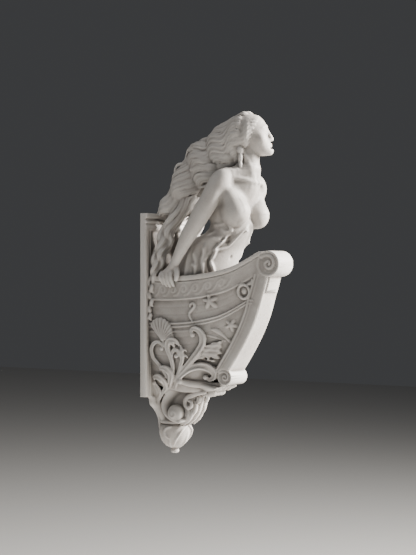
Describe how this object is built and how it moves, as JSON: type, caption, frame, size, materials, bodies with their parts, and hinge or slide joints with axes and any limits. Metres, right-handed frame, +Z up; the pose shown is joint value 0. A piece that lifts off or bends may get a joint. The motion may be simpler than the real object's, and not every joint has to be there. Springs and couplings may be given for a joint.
{
  "type": "ship figurehead",
  "caption": "Wall-hung ornament of a ship's prow on a scrolled console, with a woman leaning out over the bow and her hair streaming back to the wall plate.",
  "frame": {"origin": "middle of the flat back of the wall plate, on the wall plane", "axes": "+Z up, +Y into the wall, so the figure and the bow look along -Y; +X is the figure's left"},
  "size_m": [0.052, 0.0838, 0.1984],
  "materials": {
    "cast_marble": "pale warm grey marble-filled casting resin, fine grain, low satin sheen, a little darker in the carving's hollows"
  },
  "bodies": {
    "root": {"figurehead": "cast_marble"}
  },
  "joints": []
}
